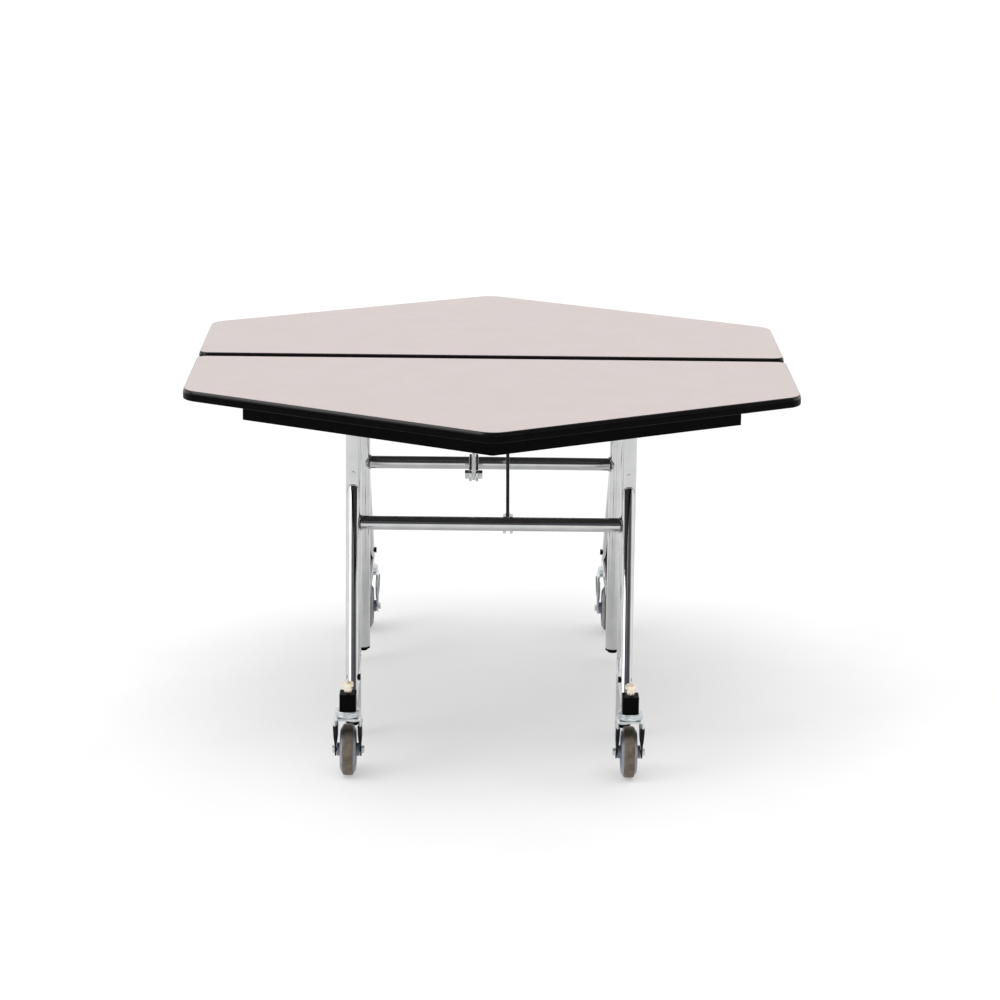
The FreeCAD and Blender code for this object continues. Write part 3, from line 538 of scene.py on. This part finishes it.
def dress(item, body, slot, nodes=(), look=None):
    """Give a piece its finish, its body and the construction pieces that it stands for."""
    item.data.materials.clear()
    item.data.materials.append(MATERIALS[look or slot])
    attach(item, body)
    if nodes:
        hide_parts(*nodes)
    return item


def soften(node, body, slot, width):
    """Show a construction piece with its edges eased."""
    source = NODES[node].data
    points = [vertex.co.copy() for vertex in source.vertices]
    faces = [tuple(face.vertices) for face in source.polygons]
    item = add_mesh(f"{node}_look", points, faces, weld=True)
    bevel = item.modifiers.new("ease", "BEVEL")
    bevel.width = width
    bevel.segments = EASE_SEGMENTS
    bevel.limit_method = "ANGLE"
    bevel.angle_limit = SMOOTH_ANGLE
    bevel.harden_normals = True
    return dress(item, body, slot, [node])


def paint(item, look, chosen):
    """Give another finish to the faces that a test picks."""
    item.data.materials.append(MATERIALS[look])
    for face in item.data.polygons:
        if chosen(face):
            face.material_index = len(item.data.materials) - 1


# Folding top

def half_corners(inset):
    """The sharp corners of half the hexagon, moved in by an inset."""
    flat = TOP_WIDTH / 2 - inset
    tip = (TOP_WIDTH - 2 * inset) / ROOT_3
    corner = tip - flat / ROOT_3
    split = FOLD_GAP / 2 + inset
    return [(-flat, -split), (-flat, -corner), (0, -tip), (flat, -corner), (flat, -split)]


def half_ring(inset, z, sign):
    """The rounded outline of half the top, moved in by an inset."""
    corners = [Vector(corner) for corner in half_corners(inset)]
    radii = [SPLIT_CORNER - inset] + [OUTER_CORNER - inset] * 3 + [SPLIT_CORNER - inset]
    points = []
    for index, (corner, radius) in enumerate(zip(corners, radii)):
        before = (corners[index - 1] - corner).normalized()
        after = (corners[(index + 1) % len(corners)] - corner).normalized()
        half = before.angle(after) / 2
        centre = corner + (before + after).normalized() * radius / math.sin(half)
        first = corner + before * radius / math.tan(half) - centre
        last = corner + after * radius / math.tan(half) - centre
        start = math.atan2(first.y, first.x)
        sweep = (math.atan2(last.y, last.x) - start + math.pi) % (2 * math.pi) - math.pi
        for step in range(CORNER_STEPS + 1):
            angle = start + sweep * step / CORNER_STEPS
            x = centre.x + radius * math.cos(angle)
            y = centre.y + radius * math.sin(angle)
            points.append(turned((x, y, z), sign))
    return points


def make_laminate_sheet(side, sign):
    fit = BAND + LAMINATE_CLEARANCE
    rings = [
        half_ring(fit, TOP_HEIGHT - LAMINATE_DEPTH, sign),
        half_ring(fit, TOP_HEIGHT - LAMINATE_EASE, sign),
        half_ring(fit + LAMINATE_EASE, TOP_HEIGHT, sign),
    ]
    sheet = skin(f"{side}_laminate_look", rings)
    dress(sheet, f"{side}_top", "laminate", [f"{side}_top_laminate"])


def make_edge_band(side, sign):
    """A band with a softly rounded crest above and a small round below."""
    profile = []
    straight_part = 1 - CREST_ROUND_SHARE
    for index, (share_z, share_in) in enumerate(arc(0, 0, 1, 0, 90, CREST_STEPS)):
        straight_share = index / CREST_STEPS
        share_in = CREST_ROUND_SHARE * share_in + straight_part * straight_share
        share_z = CREST_ROUND_SHARE * share_z + straight_part * (1 - straight_share)
        z = TOP_HEIGHT - BAND_CREST_HEIGHT * (1 - share_z)
        profile.append((BAND_CREST_DEPTH * (1 - share_in), z))
    for share_z, share_in in arc(0, 0, 1, 90, 180, BAND_ROUND_STEPS):
        profile.append((BAND_ROUND * (1 - share_in), UNDERSIDE + BAND_ROUND * (1 + share_z)))
    profile += [(BAND, UNDERSIDE), (BAND, TOP_HEIGHT)]
    rings = [half_ring(inset, z, sign) for inset, z in profile]
    band = skin(f"{side}_edge_band_look", rings, loop=True)
    dress(band, f"{side}_top", "edge_band", [f"{side}_edge_band"])
    paint(band, "band_crest", lambda face: face.center.z > TOP_HEIGHT - BAND_CREST_HEIGHT)


def make_top(side, sign):
    body = f"{side}_top"
    make_laminate_sheet(side, sign)
    make_edge_band(side, sign)
    NODES[f"{side}_top_core"].data.materials.clear()
    NODES[f"{side}_top_core"].data.materials.append(MATERIALS["top_core"])
    for hand in HANDS:
        soften(f"{side}_apron_{hand}", body, "black_steel", EASE["apron"])
    soften(f"{side}_leg_brackets", body, "black_steel", EASE["leg_brackets"])
    soften(f"{side}_pivot_pins", body, "zinc", EASE["pivot_pins"])
    soften(f"{side}_lock_bracket", body, "black_steel", EASE["lock_bracket"])
    soften(f"{side}_hinge_leaves", body, "black_steel", EASE["hinge_leaves"])


def screw(name, place, radius, body):
    """A pan head with a socket, seen from below."""
    profile = [
        (radius * along, max(radius * reach, SCREW_CENTRE))
        for along, reach in SCREW_PROFILE
    ]
    dress(lathe(name, place, DOWN, profile, count=SCREW_COUNT), body, "zinc")


def make_screws(side, sign):
    """Screws that hold the aprons and the hinge leaves to the underside."""
    body = f"{side}_top"
    level = UNDERSIDE - FLANGE_DEPTH
    tip = (TOP_WIDTH - 2 * APRON_INSET) / ROOT_3
    for hand, hand_sign in HANDS.items():
        for index, x in enumerate(APRON_SCREW_PLACES):
            place = turned((hand_sign * x, -(tip - x / ROOT_3), level), sign)
            screw(f"{side}_{hand}_apron_screw_{index}", place, APRON_SCREW_RADIUS, body)
        for index, (x, y) in enumerate(HINGE_SCREW_PLACES):
            place = turned((hand_sign * HINGE_X + x, -y, level), sign)
            screw(f"{side}_{hand}_hinge_screw_{index}", place, HINGE_SCREW_RADIUS, body)


# Leg frames

def make_legs(side, sign):
    """Both legs with what is welded to them, and the crossbar between them."""
    body = f"{side}_frame"
    y = -sign * LEG_Y
    for hand, hand_sign in HANDS.items():
        low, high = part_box(f"{side}_leg_{hand}")
        x = hand_sign * LEG_X
        profile = [
            (low.z, LEG_RADIUS - LEG_WALL),
            (low.z, LEG_RADIUS - TUBE_EASE),
            (low.z + TUBE_EASE, LEG_RADIUS),
            (high.z - TUBE_EASE, LEG_RADIUS),
            (high.z, LEG_RADIUS - TUBE_EASE),
            (high.z, LEG_RADIUS - LEG_WALL),
        ]
        leg = lathe(f"{side}_leg_{hand}_look", (x, y, 0), ALONG_Z, profile, loop=True)
        dress(leg, body, "chrome", [f"{side}_leg_{hand}"])
        weld_ring(f"{side}_{hand}_crossbar_weld", x, y, hand_sign, body)
        make_strut(side, sign, hand, hand_sign)
        soften(f"{side}_outrigger_{hand}", body, "chrome", EASE["outrigger"])
    reach = LEG_X - LEG_RADIUS + CROSSBAR_BITE
    profile = [(-reach, CROSSBAR_RADIUS), (reach, CROSSBAR_RADIUS)]
    bar = lathe(f"{side}_crossbar_look", (0, y, CROSSBAR_Z), ALONG_X, profile)
    dress(bar, body, "chrome", [f"{side}_crossbar"])


def weld_ring(name, x, y, hand_sign, body):
    """A rippled bead round the crossbar where it meets the leg."""
    rings = []
    along = Vector((-hand_sign, 0, 0))
    for angle in full_turn(CROSSBAR_BEAD_COUNT):
        radial = Vector((0, math.cos(angle), math.sin(angle)))
        setback = math.sqrt(LEG_RADIUS ** 2 - (CROSSBAR_RADIUS * radial.y) ** 2)
        radius = CROSSBAR_BEAD * (1 + BEAD_RIPPLE_SHARE * math.sin(BEAD_RIPPLES * angle))
        centre = Vector((x - hand_sign * setback, y, CROSSBAR_Z)) + CROSSBAR_RADIUS * radial
        rings.append(ring(centre, along, radial, radius, BEAD_POINTS))
    dress(skin(name, rings, loop=True), body, "chrome", look="weld")


def leg_meeting(start, lean, x):
    """Where a line along the strut first meets the leg that stands at x."""
    offset = Vector((start.x - x, start.y + LEG_Y))
    slope = Vector((lean.x, lean.y))
    along = offset.dot(slope) / slope.dot(slope)
    rest = (offset.dot(offset) - LEG_RADIUS ** 2) / slope.dot(slope)
    return start + (-along - math.sqrt(along * along - rest)) * lean


def make_strut(side, sign, hand, hand_sign):
    """A tube from the outrigger to the leg, with a bead where it is welded on."""
    body = f"{side}_frame"
    across = sign * hand_sign
    x = across * LEG_X
    foot = Vector((x - across * STRUT_TOE, STRUT_FOOT.y, STRUT_FOOT.z))
    lean = (Vector((x, STRUT_TOP.y, STRUT_TOP.z)) - foot).normalized()
    wide = lean.cross(Vector((0, 1, 0))).normalized()
    square = wide.cross(lean)
    low = []
    high = []
    beads = []
    for angle in full_turn(STRUT_COUNT):
        spoke = math.cos(angle) * wide + math.sin(angle) * square
        start = foot + STRUT_RADIUS * spoke
        low.append(start - (start.z - foot.z) / lean.z * lean)
        meeting = leg_meeting(start, lean, x)
        high.append(meeting + STRUT_BITE * lean)
        beads.append(ring(meeting, lean, spoke, STRUT_BEAD, BEAD_POINTS))
    tube = skin(f"{side}_strut_{hand}_look", turned_rings((low, high), sign))
    dress(tube, body, "chrome", [f"{side}_strut_{hand}"])
    bead = skin(f"{side}_{hand}_strut_weld", turned_rings(beads, sign), loop=True)
    dress(bead, body, "chrome", look="weld")


def make_frame_fittings(side, sign):
    body = f"{side}_frame"
    soften(f"{side}_link_ears", body, "chrome", EASE["link_ears"])
    bolts = soften(f"{side}_frame_bolts", body, "zinc", EASE["frame_bolts"])
    paint(bolts, "black_oxide_and_painted_shade", lambda face: face.center.z < FOOT_BOLT_LIMIT)
    paint(bolts, "chrome", lambda face: face.center.z > RIVET_LIMIT)
    soften(f"{side}_caster_sockets", body, "black_plastic", EASE["caster_sockets"])
    stems = soften(f"{side}_caster_stems", body, "yellow_zinc", EASE["caster_stems"])
    socket_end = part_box(f"{side}_caster_sockets")[0].z
    # Painted shade: the stem below the socket is darkened to stand for the shade in the gap above
    # the wheel.
    paint(stems, "black_oxide_and_painted_shade", lambda face: face.center.z < socket_end)
    soften(f"{side}_fold_link", f"{side}_link", "chrome", EASE["fold_link"])
    make_foot_caps(side, sign)
    make_races(side, sign)


def make_foot_caps(side, sign):
    """A rounded pad, a flange as wide as the leg and a plug inside it."""
    low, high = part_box(f"{side}_foot_caps")
    pad_top = low.z + FOOT_PAD_HEIGHT
    flange_top = low.z + FOOT_HEIGHT
    pad_round = FOOT_PAD_RADIUS - FOOT_ROUND
    flange_round = LEG_RADIUS - FOOT_ROUND
    profile = [
        (low.z, FOOT_CENTRE),
        *arc(low.z + FOOT_ROUND, pad_round, FOOT_ROUND, 180, 90, FOOT_STEPS),
        (pad_top, FOOT_PAD_RADIUS),
        *arc(pad_top + FOOT_ROUND, flange_round, FOOT_ROUND, 180, 90, FOOT_STEPS),
        (flange_top, LEG_RADIUS),
        (flange_top, FOOT_PLUG_RADIUS),
        (high.z, FOOT_PLUG_RADIUS),
        (high.z, FOOT_CENTRE),
    ]
    caps = []
    for hand_sign in HANDS.values():
        centre = (hand_sign * LEG_X, -sign * LEG_Y, 0)
        caps.append(lathe(f"{side}_foot_{hand_sign}", centre, ALONG_Z, profile))
    both = join(caps, f"{side}_foot_caps_look")
    dress(both, f"{side}_frame", "black_plastic", [f"{side}_foot_caps"])


def make_races(side, sign):
    """A cup with a groove round it."""
    low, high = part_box(f"{side}_caster_races")
    groove = low.z + RACE_GROOVE_HEIGHT
    lower = low.z + RACE_LOWER_ROUND
    upper = high.z - RACE_UPPER_ROUND
    profile = [
        (low.z, STEM_RADIUS),
        *arc(lower, RACE_RADIUS - RACE_LOWER_ROUND, RACE_LOWER_ROUND, 180, 90, RACE_STEPS),
        (groove - RACE_GROOVE_HALF, RACE_RADIUS),
        (groove, RACE_RADIUS - RACE_GROOVE_DEPTH),
        (groove + RACE_GROOVE_HALF, RACE_RADIUS),
        *arc(upper, RACE_RADIUS - RACE_UPPER_ROUND, RACE_UPPER_ROUND, 90, 0, RACE_STEPS),
        (high.z, STEM_RADIUS),
    ]
    races = []
    for hand_sign in HANDS.values():
        centre = (hand_sign * LEG_X, -sign * SOCKET_Y, 0)
        races.append(lathe(f"{side}_race_{hand_sign}", centre, ALONG_Z, profile, loop=True))
    both = join(races, f"{side}_caster_races_look")
    dress(both, f"{side}_frame", "zinc", [f"{side}_caster_races"])


# Casters

def faces_out(place, sign, shoulder):
    """Whether a place on a fork lies on the side away from the table."""
    share = (shoulder - place.z) / (shoulder - AXLE_Z)
    middle = SOCKET_Y + share * (AXLE_Y - SOCKET_Y)
    return -sign * place.y > middle


def lip_rings(start, end, inward, wall, arm, sign):
    """Rings of one rolled edge, which thins out towards the axle."""
    run = end - start
    square = inward * Vector((0, -run.z, run.y)).normalized()
    rings = []
    for index in range(LIP_STEPS + 1):
        share = index / LIP_STEPS
        reach = LIP_REACH * math.sqrt(1 - share ** LIP_POWER) + LIP_EXTRA
        centre = start + share * LIP_END_SHARE * run + square * LIP_DEPTH / 2
        centre.x = wall + arm * LIP_BITE
        points = []
        for angle in full_turn(LIP_POINTS):
            aside = Vector((reach * math.cos(angle), 0, 0))
            points.append(centre + aside + LIP_DEPTH / 2 * math.sin(angle) * square)
        rings.append(points)
    return turned_rings(rings, sign)


def make_fork_lips(side, sign, hand, hand_sign, shoulder):
    """Edges of the fork's arms, rolled in beside the wheel, with painted shade on their outward
    faces.
    """
    x = sign * hand_sign * LEG_X
    lips = []
    for arm in (-1, 1):
        wall = x + arm * (FORK_WIDTH / 2 - FORK_WALL)
        for inward in (1, -1):
            start = Vector((0, -SOCKET_Y - inward * FORK_HALF_DEPTH, shoulder))
            end = Vector((0, -AXLE_Y - inward * FORK_NOSE, AXLE_Z))
            rings = lip_rings(start, end, inward, wall, arm, sign)
            lips.append(skin(f"{side}_{hand}_fork_lip_{arm}_{inward}", rings))
    whole = join(lips, f"{side}_{hand}_fork_lips")
    dress(whole, f"{side}_{hand}_swivel", "zinc")
    # Painted shade: the outward faces of the lips are darkened like the arm edges.
    paint(whole, "black_oxide_and_painted_shade", lambda face: faces_out(face.center, sign, shoulder))


def make_fork(side, sign, hand, hand_sign):
    """The fork, with painted shade on the outward edges of its arms."""
    x = hand_sign * LEG_X
    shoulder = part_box(f"{side}_caster_races")[0].z - RACE_GAP - FORK_CROWN_HEIGHT
    fork = soften(
        f"{side}_{hand}_caster_fork", f"{side}_{hand}_swivel", "zinc", EASE["caster_fork"]
    )

    def is_shaded_arm_edge(face):
        inside = abs(face.center.x - x) < FORK_WIDTH / 2 - ARM_FACE_MARGIN
        below = face.center.z < shoulder + ARM_TOP_MARGIN
        edgewise = abs(face.normal.x) < ARM_EDGE_TILT
        return inside and below and edgewise and faces_out(face.center, sign, shoulder)

    # Painted shade: the outward edges of the arms are darkened to stand for the shade they lie
    # in.
    paint(fork, "black_oxide_and_painted_shade", is_shaded_arm_edge)
    make_fork_lips(side, sign, hand, hand_sign, shoulder)


def make_wheel(side, sign, hand, hand_sign):
    """A core with a hub and a rim, and a crowned tread round it."""
    wheel = f"{side}_{hand}_wheel"
    centre = (hand_sign * LEG_X, -sign * AXLE_Y, AXLE_Z)
    profile = [(-along, radius) for radius, along in HALF_CORE]
    profile += [(along, radius) for radius, along in reversed(HALF_CORE)]
    core = lathe(f"{wheel}_core_look", centre, ALONG_X, profile, loop=True, count=WHEEL_COUNT)
    dress(core, wheel, "wheel_core", [f"{side}_{hand}_wheel_core"])
    corner = WHEEL_RADIUS - TREAD_CORNER
    profile = [(-TREAD_EDGE, TREAD_BORE), (-TREAD_EDGE, corner)]
    for index in range(-CROWN_STEPS, CROWN_STEPS + 1):
        along = (TREAD_EDGE - CROWN_INSET) * index / CROWN_STEPS
        drop = CROWN_DROP * abs(index / CROWN_STEPS) ** CROWN_POWER
        profile.append((along, WHEEL_RADIUS - drop))
    profile += [(TREAD_EDGE, corner), (TREAD_EDGE, TREAD_BORE)]
    tread = lathe(f"{wheel}_tread_look", centre, ALONG_X, profile, loop=True, count=WHEEL_COUNT)
    dress(tread, wheel, "tread", [f"{side}_{hand}_wheel_tread"])


for side, sign in SIDES.items():
    make_top(side, sign)
    make_screws(side, sign)
    make_legs(side, sign)
    make_frame_fittings(side, sign)
    for hand, hand_sign in HANDS.items():
        make_fork(side, sign, hand, hand_sign)
        make_wheel(side, sign, hand, hand_sign)
soften("hinge_pins", "front_top", "zinc", EASE["hinge_pins"])


# Floor, light and camera

def make_floor():
    corners = [(-1, -1), (1, -1), (1, 1), (-1, 1)]
    points = [(FLOOR_REACH * x, FLOOR_REACH * y, 0) for x, y in corners]
    floor = add_mesh("floor", points, [(0, 1, 2, 3)])
    paper = make_material("floor_paper", **FLOOR_FINISH)
    shader = paper.node_tree.nodes["Principled BSDF"]
    shader.inputs["Emission Color"].default_value = FLOOR_GLOW
    shader.inputs["Emission Strength"].default_value = FLOOR_GLOW_STRENGTH
    floor.data.materials.append(paper)


def make_sun():
    """A wide light from above that gives the soft shadow."""
    light = bpy.data.lights.new("overhead", "SUN")
    light.energy = SUN_ENERGY
    light.angle = SUN_WIDTH
    item = bpy.data.objects.new("overhead", light)
    item.rotation_mode = "QUATERNION"
    item.rotation_quaternion = SUN_DIRECTION.to_track_quat("-Z", "Y")
    bpy.context.scene.collection.objects.link(item)


def facing(tree, source, side):
    """How far a direction points to a side."""
    node = tree.nodes.new("ShaderNodeVectorMath")
    node.operation = "DOT_PRODUCT"
    node.inputs[1].default_value = side
    tree.links.new(source, node.inputs[0])
    return node.outputs["Value"]


def make_world():
    """Light from above and behind, dim at the front, and a soft light at the left."""
    world = bpy.data.worlds.new("studio")
    world.use_nodes = True
    bpy.context.scene.world = world
    tree = world.node_tree
    coords = tree.nodes.new("ShaderNodeTexCoord").outputs["Generated"]
    split = tree.nodes.new("ShaderNodeSeparateXYZ")
    sideways = tree.nodes.new("ShaderNodeMath")
    sideways.operation = "ABSOLUTE"
    merge = tree.nodes.new("ShaderNodeCombineXYZ")
    tree.links.new(coords, split.inputs["Vector"])
    tree.links.new(split.outputs["X"], sideways.inputs[0])
    tree.links.new(sideways.outputs["Value"], merge.inputs["X"])
    tree.links.new(split.outputs["Y"], merge.inputs["Y"])
    tree.links.new(split.outputs["Z"], merge.inputs["Z"])
    front = facing(tree, merge.outputs["Vector"], DIM_SIDE)
    shade = ramp(tree, front, BRIGHT_COLOUR, DIM_COLOUR, DIM_STOPS)
    left = facing(tree, coords, LEFT_LIGHT_SIDE)
    glow = ramp(tree, left, (0, 0, 0), (1, 1, 1), LEFT_LIGHT_STOPS)
    total = tree.nodes.new("ShaderNodeVectorMath")
    total.operation = "MULTIPLY_ADD"
    total.inputs[1].default_value = LEFT_LIGHT_COLOUR
    tree.links.new(glow, total.inputs[0])
    tree.links.new(shade, total.inputs[2])
    back = tree.nodes["Background"]
    back.inputs["Strength"].default_value = WORLD_STRENGTH
    tree.links.new(total.outputs["Vector"], back.inputs["Color"])


def make_camera():
    right = Vector((math.cos(CAMERA_YAW), math.sin(CAMERA_YAW), 0))
    ahead = Vector((-math.sin(CAMERA_YAW), math.cos(CAMERA_YAW), 0))
    upright = Vector(ALONG_Z)
    forward = math.cos(CAMERA_PITCH) * ahead - math.sin(CAMERA_PITCH) * upright
    up = math.sin(CAMERA_PITCH) * ahead + math.cos(CAMERA_PITCH) * upright
    camera_x = math.cos(CAMERA_ROLL) * right + math.sin(CAMERA_ROLL) * up
    camera_y = -math.sin(CAMERA_ROLL) * right + math.cos(CAMERA_ROLL) * up
    camera = bpy.data.cameras.new("camera")
    camera.sensor_fit = "HORIZONTAL"
    camera.sensor_width = CAMERA_SENSOR
    camera.lens = CAMERA_LENS
    camera.clip_end = CAMERA_CLIP_END
    item = bpy.data.objects.new("camera", camera)
    turn = Matrix((camera_x, camera_y, -forward)).transposed()
    item.matrix_world = Matrix.Translation(CAMERA_PLACE) @ turn.to_4x4()
    bpy.context.scene.collection.objects.link(item)
    bpy.context.scene.camera = item


make_floor()
make_sun()
bpy.context.scene.view_settings.view_transform = "Standard"
make_world()
make_camera()
